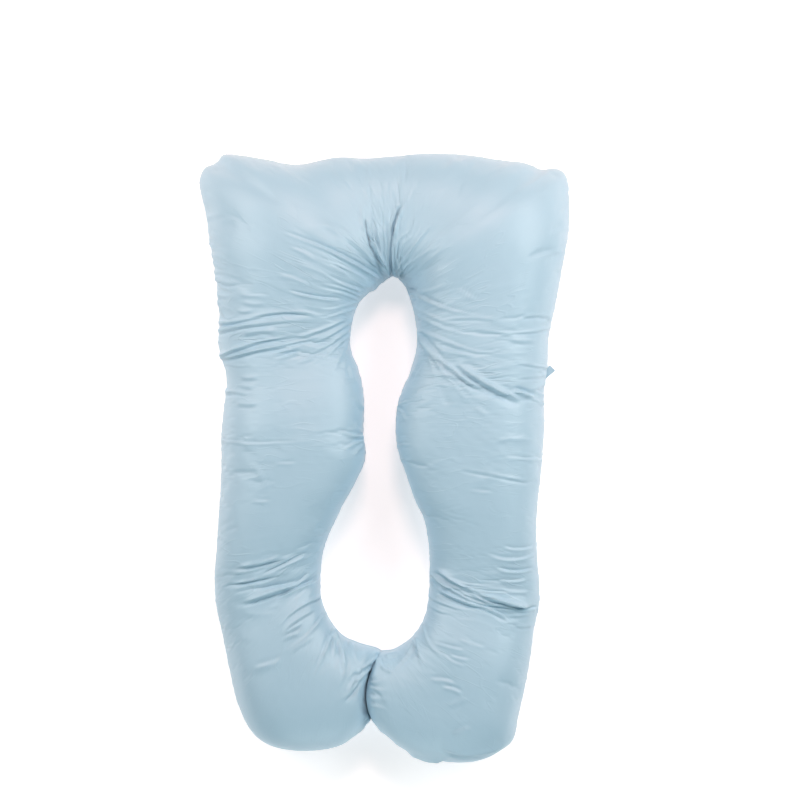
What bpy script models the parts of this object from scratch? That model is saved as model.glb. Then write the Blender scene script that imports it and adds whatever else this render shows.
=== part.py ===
"""Body pillow: one long filled cotton tube, sewn as a tall arch whose two
toes turn inward and meet.

It lies on its back on z = 0: +Y runs to the crossbar, +X to the side with
the folded tab, and +Z out of the face. Metres throughout.
"""

import math
from collections import namedtuple

import bmesh
import bpy
import numpy as np
from mathutils import Vector

COLLECTION_NAME = "Body pillow"

# How finely the tube is drawn.
STATION_PITCH = 0.0180   # between two cross-sections, along the middle of the tube
CAP_STATIONS = 7         # cross-sections in each rounded toe end
TOP_SPANS = 16           # faces across the top of a cross-section
UNDER_SPANS = 5          # faces from either seam down to the flat

# The edge seam, where the thread draws the cloth in.
SEAM_DRAW = 0.005        # depth of the groove
SEAM_LIP = 0.007         # from the seam to either lip of the groove

# How the tube is stuffed.
CAP_LENGTH = 0.055       # length over which a toe rounds off
CAP_POWER = 3.2          # bluntness of that rounding
CAP_LEAST = 0.10         # share of the height left at the very end
SIDE_POWER = 2.60        # bluntness of the cross-section
FLAT_SHARE = 0.50        # share of the half width that lies flat on the ground
SETTLE_RATE = 1.3        # how soon that flat begins, going up a toe from its end
FOLD_RISE = 0.070        # height above the seam at which a fold has its full depth

# The folded tape tab in the seam of the right arm.
TAB_TIP = (0.4220, 0.2150)      # outer corner of its fold, lower end
TAB_HEEL = (0.4080, 0.2283)     # outer corner of its fold, upper end
TAB_ROOT_LOW = (0.3945, 0.1912)      # where the tape leaves the seam
TAB_ROOT_HIGH = (0.3990, 0.2190)
TAB_HEIGHT = 0.1030             # its middle above the ground
TAPE_THICK = 0.0026             # both layers, pressed together
FOLD_SPANS = 4

# A cross-section runs straight across the tube from its outer edge to its
# inner edge; bow moves its middle along the tube.
Section = namedtuple("Section", "outer_x outer_y inner_x inner_y bow")
SECTIONS = (
    # left toe, from its end
    Section(-0.0345, -0.647, -0.0115, -0.480, 0.024),
    Section(-0.062, -0.676, -0.037, -0.468, 0.014),
    Section(-0.107, -0.708, -0.073, -0.455, 0.005),
    Section(-0.164, -0.720, -0.105, -0.439, 0.0),
    Section(-0.229, -0.720, -0.132, -0.406, 0.0),
    Section(-0.288, -0.705, -0.149, -0.372, 0.0),
    Section(-0.330, -0.671, -0.157, -0.345, 0.0),
    # up the left arm
    Section(-0.362, -0.607, -0.159, -0.320, 0.0),
    Section(-0.382, -0.525, -0.159, -0.293, 0.0),
    Section(-0.399, -0.441, -0.157, -0.266, 0.0),
    Section(-0.416, -0.360, -0.152, -0.234, 0.0),
    Section(-0.419, -0.293, -0.142, -0.201, 0.0),
    Section(-0.414, -0.224, -0.127, -0.167, 0.0),
    Section(-0.409, -0.149, -0.103, -0.117, 0.0),
    Section(-0.404, -0.075, -0.073, -0.063, 0.0),
    Section(-0.402, -0.006, -0.048, -0.001, 0.0),
    Section(-0.402, 0.063, -0.053, 0.058, 0.0),
    Section(-0.394, 0.137, -0.051, 0.142, 0.0),
    Section(-0.389, 0.199, -0.063, 0.211, 0.0),
    Section(-0.404, 0.271, -0.085, 0.273, 0.0),
    Section(-0.406, 0.345, -0.080, 0.335, 0.0),
    Section(-0.416, 0.451, -0.065, 0.379, 0.0),
    Section(-0.431, 0.533, -0.043, 0.404, 0.0),
    # round the left corner, whose ear stands out
    Section(-0.441, 0.602, -0.023, 0.416, 0.0),
    Section(-0.458, 0.676, -0.011, 0.429, 0.0),
    Section(-0.446, 0.715, -0.001, 0.436, 0.0),
    Section(-0.416, 0.730, 0.004, 0.441, 0.0),
    Section(-0.392, 0.750, 0.009, 0.444, 0.0),
    # along the crossbar, over the point of the slot
    Section(-0.303, 0.738, 0.014, 0.446, 0.0),
    Section(-0.219, 0.723, 0.016, 0.448, 0.0),
    Section(-0.122, 0.740, 0.019, 0.448, 0.0),
    Section(-0.048, 0.738, 0.021, 0.448, 0.0),
    Section(0.026, 0.743, 0.023, 0.448, 0.0),
    Section(0.112, 0.750, 0.026, 0.446, 0.0),
    Section(0.199, 0.747, 0.031, 0.444, 0.0),
    Section(0.285, 0.735, 0.036, 0.441, 0.0),
    # round the right corner and its ear
    Section(0.347, 0.728, 0.041, 0.436, 0.0),
    Section(0.387, 0.713, 0.046, 0.431, 0.0),
    Section(0.426, 0.715, 0.051, 0.424, 0.0),
    Section(0.451, 0.691, 0.056, 0.414, 0.0),
    Section(0.456, 0.621, 0.061, 0.399, 0.0),
    Section(0.453, 0.552, 0.068, 0.377, 0.0),
    # down the right arm
    Section(0.436, 0.458, 0.075, 0.347, 0.0),
    Section(0.421, 0.377, 0.080, 0.315, 0.0),
    Section(0.404, 0.295, 0.080, 0.276, 0.0),
    Section(0.402, 0.229, 0.065, 0.216, 0.0),
    Section(0.392, 0.159, 0.038, 0.149, 0.0),
    Section(0.394, 0.080, 0.028, 0.083, 0.0),
    Section(0.389, 0.006, 0.033, 0.019, 0.0),
    Section(0.384, -0.051, 0.053, -0.041, 0.0),
    Section(0.377, -0.110, 0.075, -0.105, 0.0),
    Section(0.374, -0.179, 0.098, -0.154, 0.0),
    Section(0.377, -0.253, 0.110, -0.224, 0.0),
    Section(0.382, -0.352, 0.112, -0.290, 0.0),
    Section(0.369, -0.421, 0.110, -0.332, 0.0),
    # right toe, to its end
    Section(0.360, -0.488, 0.103, -0.382, 0.0),
    Section(0.347, -0.562, 0.085, -0.421, 0.0),
    Section(0.330, -0.636, 0.065, -0.446, 0.0),
    Section(0.315, -0.698, 0.046, -0.461, 0.0),
    Section(0.261, -0.735, 0.028, -0.471, 0.0),
    Section(0.192, -0.750, 0.016, -0.476, 0.0),
    Section(0.112, -0.743, 0.009, -0.477, 0.006),
    Section(0.051, -0.720, 0.003, -0.479, 0.014),
    Section(0.005, -0.684, -0.003, -0.481, 0.020),
    Section(-0.0322, -0.649, -0.009, -0.483, 0.024),
)

# How full the tube is at some of those cross-sections, counted from 0.
# crown: top of the face; peak: where it stands highest, from outer to inner
# edge; outer and inner: sharpness of the two edges, 0.5 being round; seam:
# height of the edge seam.
Fill = namedtuple("Fill", "at crown peak outer inner seam")
FILLS = (
    Fill(0, 0.196, 0.50, 0.38, 0.40, 0.096),
    Fill(2, 0.220, 0.50, 0.35, 0.36, 0.102),
    Fill(4, 0.230, 0.50, 0.37, 0.35, 0.104),
    Fill(6, 0.228, 0.50, 0.42, 0.35, 0.104),
    Fill(8, 0.218, 0.50, 0.46, 0.35, 0.102),
    Fill(9, 0.210, 0.50, 0.46, 0.36, 0.100),
    Fill(10, 0.213, 0.50, 0.46, 0.36, 0.100),
    Fill(12, 0.233, 0.50, 0.45, 0.35, 0.104),
    Fill(14, 0.249, 0.50, 0.45, 0.34, 0.106),
    Fill(16, 0.253, 0.50, 0.45, 0.34, 0.106),
    Fill(18, 0.237, 0.52, 0.46, 0.35, 0.104),
    Fill(19, 0.232, 0.52, 0.47, 0.36, 0.104),
    Fill(20, 0.244, 0.52, 0.48, 0.39, 0.106),
    Fill(22, 0.262, 0.54, 0.54, 0.46, 0.104),
    Fill(24, 0.266, 0.58, 0.68, 0.56, 0.082),
    Fill(26, 0.264, 0.58, 0.70, 0.60, 0.074),
    Fill(28, 0.250, 0.54, 0.47, 0.58, 0.092),
    Fill(31, 0.220, 0.52, 0.41, 0.52, 0.098),
    Fill(34, 0.240, 0.54, 0.43, 0.56, 0.096),
    Fill(36, 0.258, 0.56, 0.50, 0.60, 0.084),
    Fill(38, 0.267, 0.58, 0.70, 0.60, 0.072),
    Fill(40, 0.267, 0.56, 0.62, 0.50, 0.086),
    Fill(42, 0.259, 0.52, 0.50, 0.41, 0.104),
    Fill(44, 0.253, 0.52, 0.48, 0.37, 0.106),
    Fill(46, 0.249, 0.50, 0.48, 0.35, 0.104),
    Fill(48, 0.248, 0.50, 0.46, 0.34, 0.106),
    Fill(50, 0.238, 0.50, 0.46, 0.34, 0.106),
    Fill(52, 0.218, 0.50, 0.46, 0.35, 0.102),
    Fill(53, 0.206, 0.50, 0.46, 0.36, 0.100),
    Fill(54, 0.208, 0.50, 0.46, 0.36, 0.100),
    Fill(56, 0.224, 0.50, 0.45, 0.36, 0.104),
    Fill(59, 0.227, 0.50, 0.39, 0.36, 0.104),
    Fill(62, 0.215, 0.50, 0.34, 0.38, 0.100),
    Fill(64, 0.196, 0.50, 0.38, 0.40, 0.096),
)

# The deepest folds of the face: a soft trough from one point to another,
# bowed to the left of its direction. A depth under zero is a ridge.
Fold = namedtuple("Fold", "x0 y0 x1 y1 bow width depth")
FOLDS = (
    # left arm, at the bend
    Fold(-0.392, 0.330, -0.205, 0.352, 0.000, 0.018, 0.006),
    Fold(-0.395, 0.247, -0.095, 0.322, 0.014, 0.019, 0.012),
    Fold(-0.250, 0.236, -0.092, 0.306, 0.004, 0.018, 0.006),
    Fold(-0.240, 0.545, -0.075, 0.468, 0.000, 0.018, 0.008),
    # either side of the point of the slot
    Fold(-0.042, 0.590, -0.016, 0.478, 0.004, 0.013, 0.010),
    Fold(0.055, 0.600, 0.030, 0.492, -0.004, 0.013, 0.008),
    # right arm, at the bend
    Fold(0.100, 0.392, 0.275, 0.340, -0.006, 0.018, 0.007),
    Fold(0.108, 0.262, 0.340, 0.142, -0.004, 0.020, 0.013),
    Fold(0.100, 0.250, 0.190, 0.118, -0.008, 0.018, 0.007),
    # left arm, above the toe
    Fold(-0.378, -0.281, -0.190, -0.236, 0.000, 0.017, 0.007),
    Fold(-0.356, -0.357, -0.180, -0.296, 0.004, 0.018, 0.011),
    # right arm, above the toe
    Fold(0.116, -0.258, 0.378, -0.368, -0.016, 0.020, 0.013),
    Fold(0.128, -0.318, 0.290, -0.384, -0.004, 0.018, 0.008),
)


def spline(values, at, places):
    """A smooth curve through values at the numbers in at, read at places."""
    values = np.asarray(values, float)
    at = np.asarray(at, float)
    slopes = np.gradient(values, at, axis=0)
    spans = np.clip(np.searchsorted(at, places, side="right") - 1, 0, len(at) - 2)
    gaps = (at[spans + 1] - at[spans])[:, None]
    t = (places - at[spans])[:, None] / gaps
    return (
        (1 + 2 * t) * (1 - t) ** 2 * values[spans]
        + t * (1 - t) ** 2 * gaps * slopes[spans]
        + t * t * (3 - 2 * t) * values[spans + 1]
        + t * t * (t - 1) * gaps * slopes[spans + 1]
    )


def stations():
    """(plan, fill, fullness) of each cross-section of the drawn tube."""
    places = np.linspace(0, len(SECTIONS) - 1, 40 * (len(SECTIONS) - 1) + 1)
    plan = spline(SECTIONS, np.arange(len(SECTIONS)), places)
    middles = (plan[:, 0:2] + plan[:, 2:4]) / 2
    steps = np.hypot(*np.diff(middles, axis=0).T)
    along = np.concatenate([[0.0], np.cumsum(steps)])
    whole = along[-1]

    cap = CAP_LENGTH * (1 - np.cos(np.linspace(0, math.pi / 2, CAP_STATIONS)))
    between = round((whole - 2 * CAP_LENGTH) / STATION_PITCH)
    body = np.linspace(CAP_LENGTH, whole - CAP_LENGTH, between + 1)
    wanted = np.concatenate([cap[:-1], body, (whole - cap[:-1])[::-1]])

    drawn = np.interp(wanted, along, places)
    plan = spline(SECTIONS, np.arange(len(SECTIONS)), drawn)
    fill = spline([f[1:] for f in FILLS], [f.at for f in FILLS], drawn)
    left = np.clip(np.minimum(wanted, whole - wanted) / CAP_LENGTH, 0, 1)
    fullness = (1 - (1 - left) ** CAP_POWER) ** (1 / CAP_POWER)
    return plan, fill, np.maximum(fullness, CAP_LEAST)


def swell(share, peak, outer, inner):
    """Height of the tube, 0 to 1, at a share of the way from its outer edge."""
    if share < peak:
        return max(0.0, 1 - ((peak - share) / peak) ** SIDE_POWER) ** outer
    return max(0.0, 1 - ((share - peak) / (1 - peak)) ** SIDE_POWER) ** inner


def fold_drop(x, y):
    """How far the folds lower the face at a place in plan."""
    drop = 0.0
    for fold in FOLDS:
        run = Vector((fold.x1 - fold.x0, fold.y1 - fold.y0))
        reach = Vector((x - fold.x0, y - fold.y0))
        u = reach.dot(run) / run.length_squared
        if not 0 < u < 1:
            continue
        v = run.normalized().cross(reach) - fold.bow * 4 * u * (1 - u)
        fade = min(1.0, 4 * u, 4 * (1 - u))
        drop += fold.depth * fade * math.exp(-((v / fold.width) ** 2))
    return drop


def cross_section(plan, fill, fullness):
    """Points round the tube: over the top from the outer seam, then under."""
    outer = Vector(plan[0:2])
    inner = Vector(plan[2:4])
    bow = plan[4]
    crown, peak, outer_end, inner_end, seam = fill
    across = inner - outer
    aside = Vector((-across.y, across.x)).normalized()

    def point(share, height):
        x, y = outer + across * share + aside * bow * 4 * share * (1 - share)
        return Vector((x, y, height))

    def shares(spans):
        return [0.5 - 0.5 * math.cos(math.pi * k / spans) for k in range(1, spans)]

    draw = SEAM_DRAW / across.length
    ring = [point(draw, seam), point(0, seam + SEAM_LIP)]
    for share in shares(TOP_SPANS):
        lift = swell(share, peak, outer_end, inner_end) * fullness
        top = point(share, seam + SEAM_LIP + (crown - seam - SEAM_LIP) * lift)
        top.z -= fold_drop(top.x, top.y) * min(1.0, (top.z - seam) / FOLD_RISE)
        ring.append(top)
    ring += [point(1, seam + SEAM_LIP), point(1 - draw, seam), point(1, seam - SEAM_LIP)]
    settled = min(1.0, SETTLE_RATE * fullness)
    under = []
    for end, power in ((0, outer_end), (1, inner_end)):
        side = []
        for k in range(UNDER_SPANS + 1):
            turn = math.pi / 2 * k / UNDER_SPANS
            away = FLAT_SHARE + (1 - FLAT_SHARE) * math.cos(turn)
            sunk = math.sin(turn) ** (2 * power) * settled
            side.append(point(peak + (end - peak) * away, (seam - SEAM_LIP) * (1 - sunk)))
        under.append(side)
    ring += under[1][1:] + under[0][:0:-1]
    ring.append(point(0, seam - SEAM_LIP))
    return ring


def loft(rings):
    """A closed mesh through rings of equal length, with a face at each end."""
    bm = bmesh.new()
    rows = [[bm.verts.new(point) for point in ring] for ring in rings]
    for row, following in zip(rows, rows[1:]):
        for k in range(len(row)):
            n = (k + 1) % len(row)
            bm.faces.new((row[k], row[n], following[n], following[k]))
    ends = [bm.faces.new(rows[0]), bm.faces.new(rows[-1])]
    bmesh.ops.triangulate(bm, faces=ends, ngon_method="EAR_CLIP")
    bmesh.ops.recalc_face_normals(bm, faces=bm.faces)
    return bm


def pillow_rings():
    """The cross-sections of the whole tube, centred on the origin in plan."""
    rings = [cross_section(*station) for station in zip(*stations())]
    xs = [point.x for ring in rings for point in ring]
    ys = [point.y for ring in rings for point in ring]
    middle = Vector((min(xs) + max(xs), min(ys) + max(ys), 0)) / 2
    for ring in rings:
        for point in ring:
            point -= middle
    return rings


def tape_profile():
    """(share of the way to the fold, reach past it, height) round the tape."""
    radius = TAPE_THICK / 2
    turns = [math.pi * k / FOLD_SPANS - math.pi / 2 for k in range(FOLD_SPANS + 1)]
    bend = [(1, radius * math.cos(turn), radius * math.sin(turn)) for turn in turns]
    return [(0, 0, -radius), *bend, (0, 0, radius)]


def tab_rings():
    """The folded tape at its lower and its upper edge."""
    rings = []
    low = (TAB_ROOT_LOW, TAB_TIP)
    high = (TAB_ROOT_HIGH, TAB_HEEL)
    for root, fold in (low, high):
        root = Vector((*root, TAB_HEIGHT))
        fold = Vector((*fold, TAB_HEIGHT))
        way = (fold - root).normalized()
        fold -= way * TAPE_THICK / 2
        rings.append([
            root.lerp(fold, share) + way * past + Vector((0, 0, height))
            for share, past, height in tape_profile()
        ])
    return rings


def cotton(name, colour, roughness, sheen):
    """Woven cotton as a plain material."""
    material = bpy.data.materials.new(name)
    material.use_nodes = True
    shader = material.node_tree.nodes["Principled BSDF"]
    shader.inputs["Base Color"].default_value = (*colour, 1)
    shader.inputs["Roughness"].default_value = roughness
    shader.inputs["Sheen Weight"].default_value = sheen
    material.diffuse_color = (*colour, 1)
    return material


def add_piece(name, bm, material, smooth, collection):
    """Makes an object of the mesh and puts it in the collection."""
    mesh = bpy.data.meshes.new(name)
    bm.to_mesh(mesh)
    bm.free()
    mesh.polygons.foreach_set("use_smooth", [smooth] * len(mesh.polygons))
    mesh.materials.append(material)
    piece = bpy.data.objects.new(name, mesh)
    collection.objects.link(piece)
    return piece


for leftover in list(bpy.data.objects):
    bpy.data.objects.remove(leftover, do_unlink=True)

collection = bpy.data.collections.new(COLLECTION_NAME)
bpy.context.scene.collection.children.link(collection)

cover = cotton("pillow_cover", (0.430, 0.570, 0.670), 0.55, 0.25)
add_piece("pillow", loft(pillow_rings()), cover, True, collection)

tape = cotton("side_tape", (0.400, 0.530, 0.620), 0.60, 0.20)
add_piece("side_tab", loft(tab_rings()), tape, False, collection)
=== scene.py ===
"""Body pillow: a long filled cotton tube sewn as a tall arch, lying on its back."""

import math
from collections import namedtuple

import bmesh
import bpy
import numpy as np
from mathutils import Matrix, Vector, noise


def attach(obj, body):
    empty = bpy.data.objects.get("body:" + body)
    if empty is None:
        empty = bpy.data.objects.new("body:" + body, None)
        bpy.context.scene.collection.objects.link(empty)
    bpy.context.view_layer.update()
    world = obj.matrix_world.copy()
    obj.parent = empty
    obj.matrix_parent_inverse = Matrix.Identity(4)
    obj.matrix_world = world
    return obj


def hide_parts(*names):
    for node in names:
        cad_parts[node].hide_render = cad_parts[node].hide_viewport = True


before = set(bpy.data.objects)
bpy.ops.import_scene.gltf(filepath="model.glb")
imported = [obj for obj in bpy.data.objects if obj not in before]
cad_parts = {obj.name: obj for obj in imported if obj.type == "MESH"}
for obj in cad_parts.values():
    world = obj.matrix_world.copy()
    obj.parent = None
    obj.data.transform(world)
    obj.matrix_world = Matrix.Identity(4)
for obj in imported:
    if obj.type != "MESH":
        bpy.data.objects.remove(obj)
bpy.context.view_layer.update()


# Filled tube ---------------------------------------------------------------
# The pillow itself: two shaped panels of cotton sateen, sewn together round
# the edge and stuffed with loose fibre until the face stands up in a crown.
# It bends at two places in each arm, where the cloth folds.

# A cross-section runs straight over the tube from its outer edge to its inner
# edge; bow moves its middle along the tube.
Section = namedtuple("Section", "outer_x outer_y inner_x inner_y bow")
sections = (
    # left toe, from its end
    Section(-0.0345, -0.647, -0.0115, -0.480, 0.024),
    Section(-0.062, -0.676, -0.037, -0.468, 0.014),
    Section(-0.107, -0.708, -0.073, -0.455, 0.005),
    Section(-0.164, -0.720, -0.105, -0.439, 0.0),
    Section(-0.229, -0.720, -0.132, -0.406, 0.0),
    Section(-0.288, -0.705, -0.149, -0.372, 0.0),
    Section(-0.330, -0.671, -0.157, -0.345, 0.0),
    # up the left arm
    Section(-0.362, -0.607, -0.159, -0.320, 0.0),
    Section(-0.382, -0.525, -0.159, -0.293, 0.0),
    Section(-0.399, -0.441, -0.157, -0.266, 0.0),
    Section(-0.416, -0.360, -0.152, -0.234, 0.0),
    Section(-0.419, -0.293, -0.142, -0.201, 0.0),
    Section(-0.414, -0.224, -0.127, -0.167, 0.0),
    Section(-0.409, -0.149, -0.103, -0.117, 0.0),
    Section(-0.404, -0.075, -0.073, -0.063, 0.0),
    Section(-0.402, -0.006, -0.048, -0.001, 0.0),
    Section(-0.402, 0.063, -0.053, 0.058, 0.0),
    Section(-0.394, 0.137, -0.051, 0.142, 0.0),
    Section(-0.389, 0.199, -0.063, 0.211, 0.0),
    Section(-0.409, 0.278, -0.085, 0.273, 0.0),
    Section(-0.406, 0.345, -0.080, 0.335, 0.0),
    Section(-0.416, 0.451, -0.065, 0.379, 0.0),
    Section(-0.431, 0.533, -0.043, 0.404, 0.0),
    # round the left corner, whose ear stands out
    Section(-0.441, 0.602, -0.023, 0.416, 0.0),
    Section(-0.458, 0.676, -0.011, 0.429, 0.0),
    Section(-0.446, 0.715, -0.001, 0.436, 0.0),
    Section(-0.416, 0.730, 0.004, 0.441, 0.0),
    Section(-0.392, 0.750, 0.009, 0.444, 0.0),
    # along the crossbar, over the point of the slot
    Section(-0.303, 0.738, 0.014, 0.446, 0.0),
    Section(-0.219, 0.723, 0.016, 0.448, 0.0),
    Section(-0.122, 0.740, 0.019, 0.448, 0.0),
    Section(-0.048, 0.738, 0.021, 0.448, 0.0),
    Section(0.026, 0.743, 0.023, 0.448, 0.0),
    Section(0.112, 0.750, 0.026, 0.446, 0.0),
    Section(0.199, 0.747, 0.031, 0.444, 0.0),
    Section(0.285, 0.735, 0.036, 0.441, 0.0),
    # round the right corner and its ear
    Section(0.347, 0.728, 0.041, 0.436, 0.0),
    Section(0.387, 0.713, 0.046, 0.431, 0.0),
    Section(0.426, 0.715, 0.051, 0.424, 0.0),
    Section(0.451, 0.691, 0.056, 0.414, 0.0),
    Section(0.456, 0.621, 0.061, 0.399, 0.0),
    Section(0.453, 0.552, 0.068, 0.377, 0.0),
    # down the right arm
    Section(0.436, 0.458, 0.075, 0.347, 0.0),
    Section(0.421, 0.377, 0.080, 0.315, 0.0),
    Section(0.404, 0.295, 0.080, 0.276, 0.0),
    Section(0.402, 0.229, 0.065, 0.216, 0.0),
    Section(0.392, 0.159, 0.038, 0.149, 0.0),
    Section(0.394, 0.080, 0.028, 0.083, 0.0),
    Section(0.389, 0.006, 0.033, 0.019, 0.0),
    Section(0.384, -0.051, 0.053, -0.041, 0.0),
    Section(0.377, -0.110, 0.075, -0.105, 0.0),
    Section(0.374, -0.179, 0.098, -0.154, 0.0),
    Section(0.377, -0.253, 0.110, -0.224, 0.0),
    Section(0.382, -0.352, 0.112, -0.290, 0.0),
    Section(0.369, -0.421, 0.110, -0.332, 0.0),
    # right toe, to its end
    Section(0.360, -0.488, 0.103, -0.382, 0.0),
    Section(0.347, -0.562, 0.085, -0.421, 0.0),
    Section(0.330, -0.636, 0.065, -0.446, 0.0),
    Section(0.315, -0.698, 0.046, -0.461, 0.0),
    Section(0.261, -0.735, 0.028, -0.471, 0.0),
    Section(0.192, -0.750, 0.016, -0.476, 0.0),
    Section(0.112, -0.743, 0.009, -0.477, 0.006),
    Section(0.051, -0.720, 0.003, -0.479, 0.014),
    Section(0.005, -0.684, -0.003, -0.481, 0.020),
    Section(-0.0322, -0.649, -0.009, -0.483, 0.024),
)

# How full the tube is at some of those cross-sections, counted from 0.
# crown: top of the face; peak: where it stands highest, from outer to inner
# edge; outer and inner: sharpness of the two edges, 0.5 being round; seam:
# height of the edge seam.
Fill = namedtuple("Fill", "at crown peak outer inner seam")
fills = (
    Fill(0, 0.196, 0.50, 0.38, 0.40, 0.096),
    Fill(2, 0.220, 0.50, 0.35, 0.36, 0.102),
    Fill(4, 0.230, 0.50, 0.37, 0.35, 0.104),
    Fill(6, 0.228, 0.50, 0.42, 0.35, 0.104),
    Fill(8, 0.218, 0.50, 0.46, 0.35, 0.102),
    Fill(9, 0.210, 0.50, 0.46, 0.36, 0.100),
    Fill(10, 0.213, 0.50, 0.46, 0.36, 0.100),
    Fill(12, 0.233, 0.50, 0.45, 0.35, 0.104),
    Fill(14, 0.249, 0.50, 0.45, 0.34, 0.106),
    Fill(16, 0.253, 0.50, 0.45, 0.34, 0.106),
    Fill(18, 0.237, 0.52, 0.46, 0.35, 0.104),
    Fill(19, 0.232, 0.52, 0.47, 0.36, 0.104),
    Fill(20, 0.244, 0.52, 0.48, 0.39, 0.106),
    Fill(22, 0.262, 0.54, 0.54, 0.46, 0.104),
    Fill(24, 0.266, 0.58, 0.68, 0.56, 0.082),
    Fill(26, 0.264, 0.58, 0.70, 0.60, 0.074),
    Fill(28, 0.250, 0.54, 0.47, 0.58, 0.092),
    Fill(31, 0.220, 0.52, 0.41, 0.52, 0.098),
    Fill(34, 0.240, 0.54, 0.43, 0.56, 0.096),
    Fill(36, 0.258, 0.56, 0.50, 0.60, 0.084),
    Fill(38, 0.267, 0.58, 0.70, 0.60, 0.072),
    Fill(40, 0.267, 0.56, 0.62, 0.50, 0.086),
    Fill(42, 0.259, 0.52, 0.50, 0.41, 0.104),
    Fill(44, 0.253, 0.52, 0.48, 0.37, 0.106),
    Fill(46, 0.249, 0.50, 0.48, 0.35, 0.104),
    Fill(48, 0.248, 0.50, 0.46, 0.34, 0.106),
    Fill(50, 0.238, 0.50, 0.46, 0.34, 0.106),
    Fill(52, 0.218, 0.50, 0.46, 0.35, 0.102),
    Fill(53, 0.206, 0.50, 0.46, 0.36, 0.100),
    Fill(54, 0.208, 0.50, 0.46, 0.36, 0.100),
    Fill(56, 0.224, 0.50, 0.45, 0.36, 0.104),
    Fill(59, 0.227, 0.50, 0.39, 0.36, 0.104),
    Fill(62, 0.215, 0.50, 0.34, 0.38, 0.100),
    Fill(64, 0.196, 0.50, 0.38, 0.40, 0.096),
)

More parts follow.
